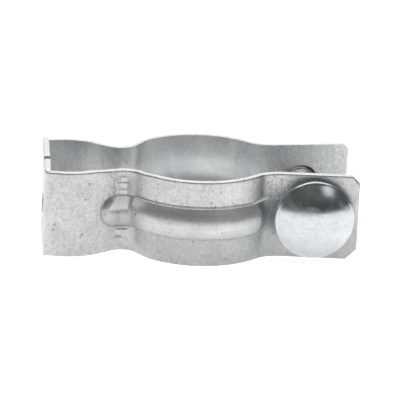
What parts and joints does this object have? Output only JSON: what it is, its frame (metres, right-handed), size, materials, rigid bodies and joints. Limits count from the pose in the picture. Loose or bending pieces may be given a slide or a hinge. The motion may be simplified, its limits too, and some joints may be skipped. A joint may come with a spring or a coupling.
{
  "type": "conduit hanger clamp",
  "caption": "Sprung steel strap clamp with a flat screw-down base, a ribbed round saddle for conduit, and two ears drawn together by a carriage bolt and nut.",
  "frame": {"origin": "centre of the mounting hole on the outer face of the base web", "axes": "+X from the base to the ears, +Y towards the ear with the nut, +Z along the conduit"},
  "size_m": [0.0575, 0.0314, 0.0164],
  "materials": {
    "galvanised_strap": "mottled matte galvanised zinc with bright cut edges",
    "bright_zinc_bolt": "smooth bright zinc plate, slightly blue",
    "zinc_nut": "satin zinc plate"
  },
  "bodies": {
    "base": {"strap_base": "galvanised_strap"},
    "front_jaw": {"front_jaw": "galvanised_strap"},
    "rear_jaw": {"rear_jaw": "galvanised_strap"},
    "bolt": {"carriage_bolt": "bright_zinc_bolt"},
    "nut": {"hex_nut": "zinc_nut"}
  },
  "joints": [
    {"name": "front_jaw_close", "type": "hinge", "parent": "base", "child": "front_jaw", "pos_m": [0.0028, -0.00954, 0], "axis": [0, 0, 1], "range_deg": [0, 3.6]},
    {"name": "rear_jaw_close", "type": "hinge", "parent": "base", "child": "rear_jaw", "pos_m": [0.0028, 0.00954, 0], "axis": [0, 0, -1], "range_deg": [0, 3.6]},
    {"name": "bolt_draw", "type": "slide", "parent": "rear_jaw", "child": "bolt", "axis": [-0.0279, 0.9996, 0], "range_m": [0, 0.0062]},
    {"name": "nut_turn", "type": "hinge", "parent": "rear_jaw", "child": "nut", "pos_m": [0.0486, 0.01221, 0], "axis": [0.0279, -0.9996, 0], "range_deg": [0, 1757.5]}
  ],
  "couplings": [
    {"joint": "front_jaw_close", "follows": "bolt_draw", "rad_per_m": 10.134},
    {"joint": "rear_jaw_close", "follows": "bolt_draw", "rad_per_m": 10.134},
    {"joint": "nut_turn", "follows": "bolt_draw", "rad_per_m": 4947.4}
  ]
}
